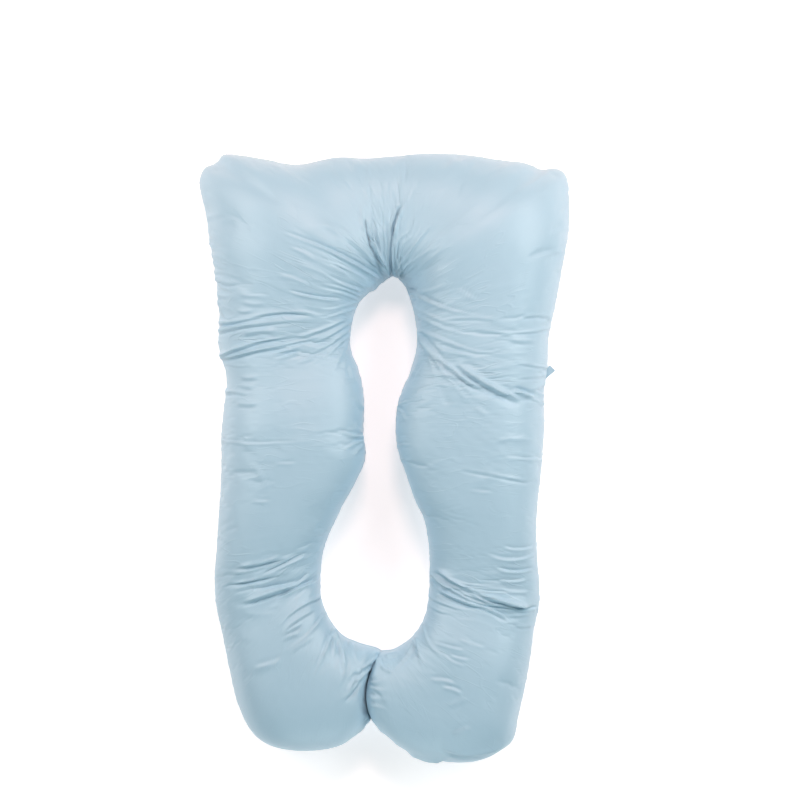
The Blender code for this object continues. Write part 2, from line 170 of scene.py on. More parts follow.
# A crease of the face: a soft trough from one point to another, bowed to the
# left of its direction, with a ridge beside it of that share of its depth,
# to the left if over zero and to the right if under. A depth under zero is a
# ridge by itself. It fades out at both ends, or with root 1 it starts at full
# depth in the seam.
Crease = namedtuple("Crease", "x0 y0 x1 y1 bow width depth ridge root")
creases = (
    # left shoulder
    Crease(-0.065, 0.468, -0.246, 0.545, -0.004, 0.0045, 0.0055, -0.9, 1),
    Crease(-0.135, 0.513, -0.229, 0.565, 0.002, 0.0105, -0.0020, 0, 0),
    Crease(-0.159, 0.471, -0.231, 0.510, -0.005, 0.0045, 0.0018, -0.5, 0),
    Crease(-0.088, 0.441, -0.132, 0.466, -0.002, 0.0035, 0.0035, -0.7, 0),
    Crease(-0.070, 0.448, -0.164, 0.483, -0.003, 0.0040, 0.0022, -0.5, 1),
    Crease(-0.085, 0.416, -0.162, 0.456, 0.003, 0.0040, 0.0026, -0.6, 1),
    Crease(-0.080, 0.404, -0.164, 0.424, -0.003, 0.0035, 0.0020, -0.5, 1),
    Crease(-0.174, 0.416, -0.266, 0.446, -0.003, 0.0045, 0.0015, -0.5, 0),
    Crease(-0.100, 0.383, -0.238, 0.405, 0.005, 0.0030, 0.0028, -1.0, 0),
    Crease(-0.085, 0.394, -0.164, 0.411, -0.002, 0.0040, 0.0018, -0.5, 1),
    Crease(-0.154, 0.572, -0.098, 0.513, 0.011, 0.0085, 0.0024, -0.4, 0),
    Crease(-0.209, 0.458, -0.241, 0.478, -0.001, 0.0035, 0.0012, -0.5, 0),
    Crease(-0.135, 0.560, -0.187, 0.547, -0.009, 0.0085, 0.0014, 0, 0),
    Crease(-0.283, 0.537, -0.278, 0.498, -0.002, 0.0035, 0.0008, 0, 0),
    # point of the slot, where the seam pinches
    Crease(-0.014, 0.493, -0.036, 0.575, 0.005, 0.0035, 0.0070, 0.6, 1),
    Crease(-0.018, 0.493, -0.042, 0.590, 0.004, 0.0032, 0.0055, 0.9, 0),
    Crease(0.026, 0.532, 0.051, 0.618, 0.006, 0.0032, 0.0060, 0.8, 0),
    Crease(-0.031, 0.537, -0.053, 0.619, 0.010, 0.0055, 0.0026, 0.5, 0),
    Crease(-0.006, 0.483, -0.028, 0.619, -0.001, 0.0055, 0.0036, 0.5, 1),
    Crease(0.004, 0.483, -0.001, 0.607, -0.000, 0.0040, 0.0032, 0.5, 1),
    Crease(0.011, 0.483, 0.019, 0.602, 0.001, 0.0035, 0.0026, 0.5, 1),
    Crease(0.021, 0.483, 0.048, 0.607, 0.008, 0.0035, 0.0060, 0.6, 1),
    Crease(0.031, 0.483, 0.088, 0.547, 0.029, 0.0035, 0.0032, -0.5, 1),
    Crease(0.036, 0.478, 0.088, 0.540, 0.019, 0.0035, 0.0026, -0.5, 1),
    Crease(0.041, 0.473, 0.125, 0.577, 0.002, 0.0040, 0.0024, 0.4, 1),
    Crease(0.048, 0.463, 0.154, 0.520, 0.007, 0.0040, 0.0020, 0.4, 1),
    Crease(-0.026, 0.473, -0.095, 0.535, -0.007, 0.0045, 0.0026, -0.5, 1),
    Crease(-0.036, 0.463, -0.110, 0.500, -0.002, 0.0045, 0.0024, -0.5, 1),
    # right shoulder
    Crease(0.063, 0.404, 0.154, 0.424, -0.007, 0.0055, 0.0020, 0.4, 1),
    Crease(0.085, 0.394, 0.229, 0.347, -0.009, 0.0035, 0.0045, 0.9, 1),
    Crease(0.174, 0.414, 0.226, 0.379, -0.001, 0.0035, 0.0020, 0.8, 0),
    Crease(0.137, 0.335, 0.283, 0.335, 0.005, 0.0035, 0.0015, -0.6, 0),
    Crease(0.085, 0.360, 0.211, 0.320, -0.008, 0.0045, 0.0020, 0.5, 1),
    Crease(0.088, 0.345, 0.229, 0.298, -0.011, 0.0050, 0.0022, 0.5, 1),
    Crease(0.088, 0.310, 0.241, 0.253, -0.003, 0.0050, 0.0024, 0.5, 1),
    Crease(0.117, 0.276, 0.226, 0.248, -0.007, 0.0050, 0.0020, 0.5, 0),
    Crease(0.211, 0.318, 0.315, 0.303, -0.003, 0.0065, 0.0014, 0, 0),
    Crease(0.406, 0.320, 0.310, 0.305, 0.004, 0.0040, 0.0036, 0.5, 1),
    Crease(0.374, 0.288, 0.298, 0.288, 0.002, 0.0055, 0.0015, 0.5, 0),
    Crease(0.409, 0.345, 0.330, 0.342, -0.004, 0.0055, 0.0014, 0.5, 1),
    # outer edge of the left arm, above the bend
    Crease(-0.436, 0.589, -0.392, 0.592, 0.001, 0.0045, 0.0024, -0.5, 1),
    Crease(-0.429, 0.552, -0.387, 0.533, -0.002, 0.0035, 0.0026, 0.5, 1),
    Crease(-0.424, 0.523, -0.394, 0.505, -0.002, 0.0035, 0.0036, 0.5, 1),
    Crease(-0.419, 0.498, -0.382, 0.483, -0.000, 0.0040, 0.0020, 0.5, 1),
    Crease(-0.416, 0.478, -0.382, 0.463, -0.003, 0.0035, 0.0040, 0.5, 1),
    Crease(-0.411, 0.458, -0.357, 0.441, 0.001, 0.0040, 0.0020, -0.5, 1),
    Crease(-0.409, 0.439, -0.350, 0.426, -0.005, 0.0050, 0.0050, -0.5, 1),
    Crease(-0.406, 0.426, -0.367, 0.409, -0.005, 0.0040, 0.0036, -0.4, 1),
    Crease(-0.404, 0.399, -0.362, 0.399, -0.005, 0.0050, 0.0024, -0.4, 1),
    Crease(-0.402, 0.382, -0.367, 0.362, -0.006, 0.0040, 0.0034, 0.4, 1),
    Crease(-0.399, 0.362, -0.357, 0.352, -0.015, 0.0040, 0.0040, -0.5, 1),
    Crease(-0.362, 0.362, -0.318, 0.360, -0.004, 0.0045, 0.0018, -0.5, 0),
    Crease(-0.357, 0.404, -0.288, 0.397, -0.006, 0.0065, 0.0014, 0, 0),
    Crease(-0.347, 0.382, -0.288, 0.377, -0.005, 0.0055, 0.0015, -0.5, 0),
    # left arm, at the bend
    Crease(-0.394, 0.332, -0.318, 0.342, -0.002, 0.0055, 0.0060, -0.5, 1),
    Crease(-0.332, 0.340, -0.154, 0.347, 0.013, 0.0045, 0.0034, -0.7, 0),
    Crease(-0.394, 0.315, -0.164, 0.337, 0.004, 0.0055, 0.0042, -0.7, 1),
    Crease(-0.350, 0.300, -0.258, 0.308, 0.005, 0.0055, 0.0032, -0.5, 0),
    Crease(-0.397, 0.253, -0.209, 0.300, 0.007, 0.0055, 0.0075, -0.5, 1),
    Crease(-0.219, 0.295, -0.085, 0.347, -0.007, 0.0045, 0.0036, -0.6, 0),
    Crease(-0.392, 0.246, -0.159, 0.295, -0.001, 0.0050, 0.0070, -0.4, 1),
    Crease(-0.085, 0.335, -0.189, 0.278, 0.008, 0.0035, 0.0040, 0.6, 1),
    Crease(-0.088, 0.318, -0.194, 0.251, 0.010, 0.0035, 0.0038, 0.6, 1),
    Crease(-0.093, 0.298, -0.189, 0.221, 0.008, 0.0035, 0.0028, 0.5, 1),
    Crease(-0.201, 0.258, -0.263, 0.238, 0.001, 0.0035, 0.0032, -0.7, 0),
    Crease(-0.214, 0.266, -0.273, 0.253, -0.001, 0.0030, 0.0022, -0.6, 0),
    Crease(-0.159, 0.248, -0.211, 0.229, 0.000, 0.0030, 0.0018, -0.5, 0),
    Crease(-0.093, 0.283, -0.132, 0.194, 0.001, 0.0055, 0.0024, 0.3, 1),
    Crease(-0.093, 0.276, -0.093, 0.201, -0.002, 0.0030, 0.0018, 0.4, 1),
    Crease(-0.085, 0.236, -0.068, 0.179, -0.004, 0.0030, 0.0024, -0.6, 0),
    Crease(-0.083, 0.362, -0.154, 0.337, 0.001, 0.0035, 0.0024, -0.5, 1),
    Crease(-0.080, 0.377, -0.145, 0.360, 0.002, 0.0035, 0.0018, -0.5, 1),
    Crease(-0.387, 0.231, -0.332, 0.224, -0.002, 0.0045, 0.0016, -0.5, 1),
    Crease(-0.357, 0.201, -0.303, 0.201, -0.005, 0.0055, 0.0016, -0.4, 0),
    Crease(-0.357, 0.179, -0.313, 0.174, -0.002, 0.0045, 0.0014, -0.4, 0),
    Crease(-0.387, 0.162, -0.332, 0.154, 0.003, 0.0050, 0.0040, -0.8, 1),
    Crease(-0.367, 0.137, -0.303, 0.135, -0.004, 0.0055, 0.0020, -0.4, 0),
    # right arm, at the bend
    Crease(0.098, 0.266, 0.132, 0.157, 0.004, 0.0040, 0.0030, 0.4, 1),
    Crease(0.135, 0.182, 0.157, 0.122, -0.001, 0.0065, -0.0018, 0, 0),
    Crease(0.105, 0.266, 0.221, 0.125, -0.006, 0.0040, 0.0046, 0.6, 1),
    Crease(0.112, 0.266, 0.219, 0.149, -0.002, 0.0045, 0.0054, 0.5, 1),
    Crease(0.132, 0.246, 0.241, 0.164, -0.005, 0.0040, 0.0060, -0.6, 0),
    Crease(0.167, 0.238, 0.340, 0.137, -0.009, 0.0055, 0.0075, -0.6, 0),
    Crease(0.211, 0.172, 0.335, 0.125, -0.001, 0.0105, -0.0026, 0, 0),
    Crease(0.310, 0.167, 0.369, 0.147, 0.000, 0.0045, 0.0060, 0.6, 0),
    Crease(0.397, 0.130, 0.360, 0.147, 0.001, 0.0040, 0.0050, -0.5, 1),
    Crease(0.394, 0.152, 0.364, 0.167, 0.002, 0.0040, 0.0045, -0.5, 1),
    Crease(0.394, 0.184, 0.340, 0.164, 0.002, 0.0065, 0.0036, 0.3, 1),
    Crease(0.399, 0.221, 0.320, 0.231, -0.001, 0.0045, 0.0020, 0.5, 1),
    Crease(0.397, 0.204, 0.320, 0.196, 0.001, 0.0050, 0.0016, 0.5, 1),
    Crease(0.088, 0.241, 0.056, 0.182, 0.001, 0.0025, 0.0020, 0.8, 0),
    Crease(0.221, 0.125, 0.251, 0.103, -0.001, 0.0055, 0.0016, 0.4, 0),
    # middle of the left arm
    Crease(-0.399, 0.041, -0.137, 0.048, -0.008, 0.0035, 0.0022, 0.6, 1),
    Crease(-0.266, -0.011, -0.211, -0.011, -0.002, 0.0035, 0.0018, 0.5, 0),
    Crease(-0.315, -0.009, -0.278, -0.078, 0.000, 0.0035, 0.0016, 0.5, 0),
    Crease(-0.318, -0.103, -0.276, -0.105, -0.001, 0.0035, 0.0018, 0.5, 0),
    Crease(-0.054, 0.052, -0.110, 0.066, 0.001, 0.0035, 0.0060, -0.6, 1),
    Crease(-0.053, 0.049, -0.098, 0.050, -0.003, 0.0030, 0.0045, 0.6, 1),
    Crease(-0.052, 0.044, -0.100, 0.018, -0.003, 0.0035, 0.0060, -0.6, 1),
    Crease(-0.050, 0.038, -0.075, -0.002, -0.002, 0.0035, 0.0050, 0.5, 1),
    Crease(-0.055, 0.058, -0.080, 0.096, 0.001, 0.0035, 0.0045, -0.5, 1),
    Crease(-0.057, 0.125, -0.070, 0.160, 0.002, 0.0035, 0.0040, 0.5, 1),
    Crease(0.036, 0.118, 0.050, 0.090, 0.003, 0.0035, 0.0050, 0.6, 1),
    Crease(0.036, 0.126, 0.064, 0.140, 0.003, 0.0035, 0.0040, 0.6, 1),
    # middle of the right arm
    Crease(0.394, -0.006, 0.293, 0.004, 0.002, 0.0045, 0.0024, -0.5, 1),
    Crease(0.360, -0.058, 0.169, -0.021, -0.001, 0.0035, 0.0020, 0.7, 0),
    Crease(0.204, -0.078, 0.263, -0.083, 0.000, 0.0035, 0.0016, 0.5, 0),
    Crease(0.028, 0.028, 0.068, 0.033, 0.002, 0.0035, 0.0026, 0.5, 1),
    Crease(0.033, -0.006, 0.073, -0.019, 0.001, 0.0035, 0.0026, 0.5, 1),
    Crease(0.369, 0.043, 0.261, 0.041, -0.006, 0.0065, 0.0014, 0, 0),
    # left arm, above the toe
    Crease(-0.367, -0.266, -0.243, -0.234, -0.003, 0.0050, 0.0046, -0.9, 0),
    Crease(-0.303, -0.290, -0.182, -0.231, -0.002, 0.0035, 0.0030, 0.9, 0),
    Crease(-0.379, -0.280, -0.278, -0.256, -0.004, 0.0035, 0.0024, -0.6, 0),
    Crease(-0.377, -0.305, -0.268, -0.276, -0.004, 0.0040, 0.0032, -0.7, 0),
    Crease(-0.372, -0.322, -0.293, -0.298, -0.002, 0.0045, 0.0022, -0.5, 0),
    Crease(-0.355, -0.355, -0.204, -0.308, 0.003, 0.0050, 0.0080, -0.5, 0),
    Crease(-0.310, -0.330, -0.229, -0.315, 0.005, 0.0040, 0.0040, 0.5, 0),
    Crease(-0.231, -0.327, -0.157, -0.290, 0.001, 0.0065, -0.0026, 0, 0),
    Crease(-0.261, -0.342, -0.157, -0.300, 0.003, 0.0035, 0.0040, 0.7, 0),
    Crease(-0.219, -0.305, -0.187, -0.276, -0.003, 0.0030, -0.0024, 0, 0),
    Crease(-0.157, -0.342, -0.251, -0.406, -0.011, 0.0035, 0.0040, 0.5, 1),
    Crease(-0.164, -0.367, -0.248, -0.421, -0.005, 0.0035, 0.0028, 0.6, 0),
    Crease(-0.199, -0.399, -0.251, -0.426, 0.002, 0.0035, 0.0030, 0.5, 0),
    Crease(-0.201, -0.426, -0.248, -0.439, -0.002, 0.0035, 0.0024, 0.5, 0),
    Crease(-0.152, -0.389, -0.253, -0.473, 0.008, 0.0035, 0.0030, -0.7, 1),
    Crease(-0.164, -0.431, -0.234, -0.476, -0.002, 0.0030, 0.0018, 0.5, 0),
    Crease(-0.243, -0.488, -0.318, -0.510, 0.002, 0.0050, 0.0026, -0.6, 0),
    Crease(-0.258, -0.377, -0.352, -0.374, 0.004, 0.0065, 0.0014, 0, 0),
    # right arm, above the toe
    Crease(0.119, -0.263, 0.238, -0.335, -0.003, 0.0055, 0.0060, -0.5, 0),
    Crease(0.115, -0.262, 0.372, -0.367, -0.020, 0.0170, 0.0050, -0.35, 0),
    Crease(0.212, -0.326, 0.374, -0.368, -0.003, 0.0032, 0.0080, -0.5, 0),
    Crease(0.200, -0.315, 0.368, -0.362, -0.004, 0.0100, 0.0030, 0, 0),
    Crease(0.205, -0.331, 0.330, -0.367, -0.004, 0.0028, 0.0040, -0.8, 0),
    Crease(0.127, -0.276, 0.261, -0.345, -0.003, 0.0030, -0.0036, 0, 0),
    Crease(0.115, -0.280, 0.315, -0.355, -0.026, 0.0050, 0.0070, -0.3, 1),
    Crease(0.137, -0.293, 0.261, -0.355, -0.011, 0.0030, -0.0024, 0, 0),
    Crease(0.120, -0.316, 0.246, -0.364, -0.004, 0.0040, 0.0070, -0.5, 0),
    Crease(0.222, -0.355, 0.300, -0.392, 0.002, 0.0035, 0.0055, -0.5, 0),
    Crease(0.256, -0.340, 0.355, -0.364, 0.002, 0.0035, 0.0060, -0.6, 0),
    Crease(0.327, -0.364, 0.379, -0.367, -0.006, 0.0035, 0.0032, 0.7, 0),
    Crease(0.115, -0.342, 0.192, -0.369, -0.002, 0.0040, 0.0024, -0.4, 1),
    Crease(0.112, -0.362, 0.162, -0.379, -0.003, 0.0040, 0.0020, -0.4, 1),
    Crease(0.266, -0.266, 0.369, -0.271, -0.010, 0.0035, 0.0026, 0.9, 0),
    Crease(0.246, -0.234, 0.374, -0.236, -0.014, 0.0045, 0.0020, 0.6, 0),
    Crease(0.285, -0.216, 0.374, -0.216, -0.008, 0.0040, 0.0016, 0.6, 0),
    Crease(0.271, -0.295, 0.355, -0.295, -0.007, 0.0040, 0.0016, 0.6, 0),
    Crease(0.285, -0.322, 0.360, -0.327, -0.003, 0.0045, 0.0012, 0.4, 0),
    Crease(0.298, -0.382, 0.360, -0.379, -0.004, 0.0040, 0.0016, -0.4, 0),
    Crease(0.315, -0.406, 0.374, -0.406, -0.005, 0.0040, 0.0016, -0.4, 0),
    Crease(0.100, -0.431, 0.154, -0.486, -0.009, 0.0035, 0.0030, 0.5, 1),
    Crease(0.120, -0.448, 0.196, -0.466, -0.003, 0.0035, 0.0024, 0.6, 0),
    Crease(0.157, -0.478, 0.206, -0.490, -0.002, 0.0035, 0.0022, 0.6, 0),
    Crease(0.137, -0.471, 0.201, -0.505, -0.006, 0.0035, 0.0016, 0.5, 0),
    Crease(0.174, -0.436, 0.251, -0.463, -0.003, 0.0045, 0.0014, 0.4, 0),
    # toes
    Crease(-0.132, -0.441, -0.167, -0.530, -0.002, 0.0040, 0.0054, -0.5, 1),
    Crease(-0.122, -0.446, -0.125, -0.490, 0.001, 0.0040, 0.0044, -0.5, 1),
    Crease(-0.110, -0.453, -0.115, -0.560, 0.015, 0.0040, 0.0061, -0.5, 1),
    Crease(-0.080, -0.463, -0.063, -0.505, 0.001, 0.0040, 0.0041, -0.5, 1),
    Crease(-0.051, -0.528, -0.107, -0.587, 0.004, 0.0040, 0.0054, 0.7, 0),
    Crease(-0.068, -0.530, -0.093, -0.570, 0.000, 0.0040, 0.0041, 0.5, 0),
    Crease(-0.046, -0.476, -0.056, -0.520, -0.002, 0.0052, 0.0031, -0.4, 1),
    Crease(-0.030, -0.490, -0.062, -0.512, 0.004, 0.0035, 0.0045, -0.5, 0),
    Crease(-0.036, -0.512, -0.075, -0.545, 0.004, 0.0032, 0.0040, 0.5, 0),
    Crease(0.080, -0.456, 0.093, -0.515, -0.001, 0.0040, 0.0037, -0.5, 1),
    Crease(0.061, -0.471, 0.016, -0.520, 0.003, 0.0040, 0.0041, 0.6, 1),
    Crease(0.000, -0.486, 0.036, -0.474, -0.003, 0.0035, 0.0055, -0.5, 0),
    Crease(-0.008, -0.506, 0.024, -0.520, -0.003, 0.0032, 0.0040, 0.5, 0),
    Crease(-0.024, -0.545, 0.004, -0.534, -0.001, 0.0035, 0.0045, 0.5, 1),
    Crease(-0.026, -0.560, 0.012, -0.560, -0.003, 0.0035, 0.0034, 0.4, 1),
    Crease(-0.027, -0.584, 0.014, -0.582, -0.001, 0.0040, 0.0027, 0.4, 1),
    Crease(-0.024, -0.603, 0.010, -0.612, 0.002, 0.0035, 0.0030, 0.4, 1),
    Crease(0.107, -0.540, 0.174, -0.547, 0.004, 0.0040, 0.0031, 0.6, 0),
    Crease(0.137, -0.557, 0.189, -0.572, 0.004, 0.0040, 0.0037, 0.6, 0),
    Crease(0.206, -0.579, 0.147, -0.604, 0.002, 0.0040, 0.0027, 0.5, 0),
    Crease(0.214, -0.649, 0.162, -0.673, -0.001, 0.0040, 0.0037, -0.8, 0),
    Crease(0.051, -0.718, 0.159, -0.735, -0.011, 0.0040, 0.0068, -0.6, 0),
    Crease(0.132, -0.701, 0.318, -0.688, -0.024, 0.0063, 0.0061, -0.6, 0),
)

# Where the cover is slack, and fine wrinkles run across the tube: an oval
# patch of the face.
Slack = namedtuple("Slack", "x y half_x half_y amount")
slacks = (
    Slack(-0.240, 0.295, 0.170, 0.055, 1.0),
    Slack(-0.390, 0.400, 0.050, 0.100, 0.7),
    Slack(-0.140, 0.470, 0.110, 0.070, 0.8),
    Slack(0.010, 0.540, 0.100, 0.060, 0.9),
    Slack(0.140, 0.410, 0.100, 0.070, 0.5),
    Slack(0.200, 0.210, 0.150, 0.060, 0.9),
    Slack(0.365, 0.150, 0.050, 0.050, 0.6),
    Slack(-0.280, -0.290, 0.130, 0.060, 0.9),
    Slack(0.240, -0.320, 0.140, 0.060, 0.8),
    Slack(-0.130, -0.500, 0.060, 0.060, 0.5),
    Slack(0.100, -0.490, 0.060, 0.050, 0.5),
    Slack(-0.300, 0.040, 0.120, 0.030, 0.3),
    Slack(0.300, -0.030, 0.110, 0.035, 0.3),
)

station_pitch = 0.0039      # between two rings of the mesh, away from the bends
bend_numbers = (9.3, 19.4, 31.5, 45.5, 53.0)    # cross-sections at the bends
bend_reach = 1.8            # cross-sections to either side of them
bend_closer = 0.90          # how much closer the rings stand there
cap_stations = 16           # rings in each rounded toe end
top_spans = 64              # faces across the face of a ring
under_spans = 7             # faces from either seam down to the flat
lip_spans = 2               # faces from the seam to each lip of its groove
seam_draw = 0.006           # how far the thread draws the seam in
seam_lip = 0.008            # from the seam to either lip
cap_length = 0.055          # length over which a toe rounds off
cap_power = 6.0             # bluntness of that rounding
cap_least = 0.10            # how full the very end still is
side_power = 2.60           # bluntness of the cross-section
flat_share = 0.50           # share of the half width that lies flat
under_sooner = 1.3          # how much sooner than the face the underside fills
lane_crowding = 0.5         # how much the faces across crowd towards the edges
plan_steps = 40             # steps from one cross-section to the next, for measuring


def smooth_rows(values, at, places):
    """A smooth curve through rows of values at the numbers in at."""
    values = np.asarray(values, float)
    at = np.asarray(at, float)
    slopes = np.gradient(values, at, axis=0)
    spans = np.clip(np.searchsorted(at, places, side="right") - 1, 0, len(at) - 2)
    gaps = (at[spans + 1] - at[spans])[:, None]
    t = (places - at[spans])[:, None] / gaps
    return (
        (1 + 2 * t) * (1 - t) ** 2 * values[spans]
        + t * (1 - t) ** 2 * gaps * slopes[spans]
        + t * t * (3 - 2 * t) * values[spans + 1]
        + t * t * (t - 1) * gaps * slopes[spans + 1]
    )


# Where the rings stand along the tube.
numbers = np.arange(len(sections))
places = np.linspace(0, len(sections) - 1, plan_steps * (len(sections) - 1) + 1)
plan = smooth_rows(sections, numbers, places)
middles = (plan[:, 0:2] + plan[:, 2:4]) / 2
along = np.concatenate([[0.0], np.cumsum(np.hypot(*np.diff(middles, axis=0).T))])
whole = along[-1]
cap = cap_length * (1 - np.cos(np.linspace(0, math.pi / 2, cap_stations)))
off_bend = (places[:, None] - np.array(bend_numbers)) / bend_reach
closeness = 1 + bend_closer * np.exp(-(off_bend**2)).sum(axis=1)
rungs = np.concatenate([[0], np.cumsum(np.diff(along) * closeness[1:])]) / station_pitch
inside = np.interp([cap_length, whole - cap_length], along, rungs)
body = np.interp(np.linspace(*inside, round(inside[1] - inside[0]) + 1), rungs, along)
stations = np.concatenate([cap[:-1], body, (whole - cap[:-1])[::-1]])
drawn = np.interp(stations, along, places)
plan = smooth_rows(sections, numbers, drawn)
filling = smooth_rows([f[1:] for f in fills], [f.at for f in fills], drawn)
to_end = np.clip(np.minimum(stations, whole - stations) / cap_length, 0, 1)
fullness = np.maximum((1 - (1 - to_end) ** cap_power) ** (1 / cap_power), cap_least)

# Each ring, from the outer seam over the face to the inner seam, and back
# under the pillow.
outer_edge, inner_edge, bow = plan[:, None, 0:2], plan[:, None, 2:4], plan[:, None, 4:5]
crown, peak, outer_power, inner_power, seam = (filling[:, k : k + 1] for k in range(5))
across = inner_edge - outer_edge
width = np.linalg.norm(across, axis=2)
aside = np.stack([-across[..., 1], across[..., 0]], axis=2) / width[..., None]
full = fullness[:, None]


def in_plan(share):
    """Places at those shares of the way from the outer to the inner edge."""
    lane = share[..., None]
    return outer_edge + across * lane + aside * bow * 4 * lane * (1 - lane)


lip = np.linspace(0, 1, lip_spans + 1)
groove = seam_draw * (1 - lip[:-1]) ** 2
even = np.arange(1, top_spans) / top_spans
crowded = 0.5 - 0.5 * np.cos(math.pi * even)
top_share = (1 - lane_crowding) * even + lane_crowding * crowded
top_share = np.broadcast_to(top_share, (len(plan), top_spans - 1))
from_peak = np.where(
    top_share < peak, (peak - top_share) / peak, (top_share - peak) / (1 - peak)
)
edge_power = np.where(top_share < peak, outer_power, inner_power)
top_lift = np.clip(1 - from_peak**side_power, 0, 1) ** edge_power * full
top_height = seam + seam_lip + (crown - seam - seam_lip) * top_lift

bend = np.arange(1, under_spans + 1) * math.pi / 2 / under_spans
away = flat_share + (1 - flat_share) * np.cos(bend)
settled = np.minimum(1.0, under_sooner * full)
under_in = peak + (1 - peak) * away
under_out = peak * (1 - away)
under_in_height = (seam - seam_lip) * (1 - np.sin(bend) ** (2 * inner_power) * settled)
under_out_height = (seam - seam_lip) * (1 - np.sin(bend) ** (2 * outer_power) * settled)

draw = groove / width
rise = seam_lip * lip[:-1]
shares = np.concatenate(
    [
        draw, np.zeros_like(seam), top_share, np.ones_like(seam), 1 - draw[:, ::-1],
        1 - draw[:, 1:], np.ones_like(seam), under_in,
        under_out[:, ::-1], np.zeros_like(seam), draw[:, :0:-1],
    ],
    axis=1,
)
heights = np.concatenate(
    [
        seam + rise, seam + seam_lip, top_height, seam + seam_lip, seam + rise[::-1],
        seam - rise[1:], seam - seam_lip, under_in_height,
        under_out_height[:, ::-1], seam - seam_lip, seam - rise[:0:-1],
    ],
    axis=1,
)
shell = np.concatenate([in_plan(shares), heights[..., None]], axis=2)
ring_size = shell.shape[1]


def outward(shell):
    """Unit normals of the rings, pointing out of the tube."""
    round_ring = np.roll(shell, -1, axis=1) - np.roll(shell, 1, axis=1)
    down_tube = np.gradient(shell, axis=0)
    normals = np.cross(down_tube, round_ring)
    return normals / np.maximum(np.linalg.norm(normals, axis=2, keepdims=True), 1e-9)


def ease_in(share):
    """From 0 to 1 with a soft start and end."""
    share = np.clip(share, 0, 1)
    return share * share * (3 - 2 * share)


# The stuffing is uneven: shallow lumps of the face, 10 to 20 cm across.
lump_sizes = ((4.5, 0.0040), (11.0, 0.0016))    # lumps per metre, their height
lumps_from, lumps_over = 0.01, 0.06             # heights over the seam
normals = outward(shell)
on_face = np.clip((shell[..., 2] - seam - lumps_from) / lumps_over, 0, 1)
for per_metre, height in lump_sizes:
    lumps = np.array([noise.noise(Vector(p) * per_metre) for p in shell.reshape(-1, 3)])
    shell += normals * (on_face * height * lumps.reshape(on_face.shape))[..., None]

# The creases. They ease off towards the seam over these heights above it.
crease_ease = 0.030
root_ease = 0.040           # where the crease starts in the seam
ridge_ease = 0.075          # ridges keep further off, so the outline stays clean
crease_depth = 1.50         # how much deeper than in the table they lie
trough_power = 1.3          # bluntness of a trough's section
ridge_aside, ridge_width = 1.7, 0.9     # of a ridge, in widths of its trough
end_fade = 3.5              # either end fades over 1 part in this many
# A crease that starts in the seam begins a little before its first point, is
# soon at full depth, fades slowly to its far end and narrows on the way.
root_before = 0.3
root_soon = 20
root_fade = 0.8
root_narrows = 0.4
normals = outward(shell)
near_edge = ease_in((shell[..., 2] - seam) / crease_ease)
in_seam = ease_in((shell[..., 2] - seam) / root_ease)
sunk = np.zeros(on_face.shape)
for crease in creases:
    start = np.array((crease.x0, crease.y0))
    run = np.array((crease.x1, crease.y1)) - start
    length = np.hypot(*run)
    reach = shell[..., :2] - start
    u = reach @ run / length**2
    v = (run[0] * reach[..., 1] - run[1] * reach[..., 0]) / length
    v -= crease.bow * 4 * u * (1 - u)
    fade, edge_fade = ease_in(u * end_fade) * ease_in((1 - u) * end_fade), near_edge
    if crease.root == 1:
        fade = ease_in((u + root_before) * root_soon) * np.clip(1 - u, 0, 1) ** root_fade
        v = v / (1 - root_narrows * np.clip(u, 0, 1))
        edge_fade = in_seam
    v = v / crease.width
    beside = ridge_aside * math.copysign(1, crease.ridge)
    trough = np.exp(-(np.abs(v) ** trough_power))
    ridge = abs(crease.ridge) * np.exp(-(((v - beside) / ridge_width) ** 2))
    sunk += crease.depth * edge_fade * fade * (trough - ridge)
sunk = np.where(sunk < 0, sunk * ease_in((shell[..., 2] - seam) / ridge_ease), sunk)
shell -= normals * (crease_depth * sunk)[..., None]

# How slack the cover is, from a little everywhere to 1 in the patches.
least_slack = 0.10
slack = least_slack * np.ones(on_face.shape)
for patch in slacks:
    off = ((shell[..., 0] - patch.x) / patch.half_x) ** 2
    off = off + ((shell[..., 1] - patch.y) / patch.half_y) ** 2
    slack += patch.amount * np.exp(-off)
slack = np.minimum(slack, 1)

# The face as cloth: sewn fast along both seams, cut a little too large, more
# so where it is slack, and pressed out by the stuffing, so it buckles into
# wrinkles. Only the wrinkles are kept, not the swelling.
sim_lanes = 24              # faces across the simulated face
sim_frames = 20
sewn_rings, sewn_lanes = 3, 2   # held fast at either end and along either seam
sim_pressure = 0.8
least_excess = 0.02         # share by which the cloth is too large, pulled tight
most_excess = 0.14          # and where it is slack
slow_rings = 41             # rings over which the swelling is averaged
most_move = 0.008
last_top = lip_spans + top_spans
lanes = np.round(np.linspace(lip_spans, last_top, sim_lanes + 1)).astype(int)
lanes = np.array([0, *lanes, last_top + lip_spans])
before_sim = shell[:, lanes]
numbered = np.arange(before_sim[..., 0].size).reshape(before_sim.shape[:2])
corners = (numbered[:-1, :-1], numbered[:-1, 1:], numbered[1:, 1:], numbered[1:, :-1])
face_mesh = bpy.data.meshes.new("face_cloth")
face_mesh.from_pydata(
    before_sim.reshape(-1, 3).tolist(), [],
    np.stack(corners, axis=-1).reshape(-1, 4).tolist(),
)
face_cloth = bpy.data.objects.new("face_cloth", face_mesh)
bpy.context.scene.collection.objects.link(face_cloth)
sewn = face_cloth.vertex_groups.new(name="sewn")
sewn_down = np.ones(numbered.shape, bool)
sewn_down[sewn_rings:-sewn_rings, sewn_lanes:-sewn_lanes] = False
sewn.add(numbered[sewn_down].tolist(), 1.0, "REPLACE")
eased = face_cloth.vertex_groups.new(name="eased")
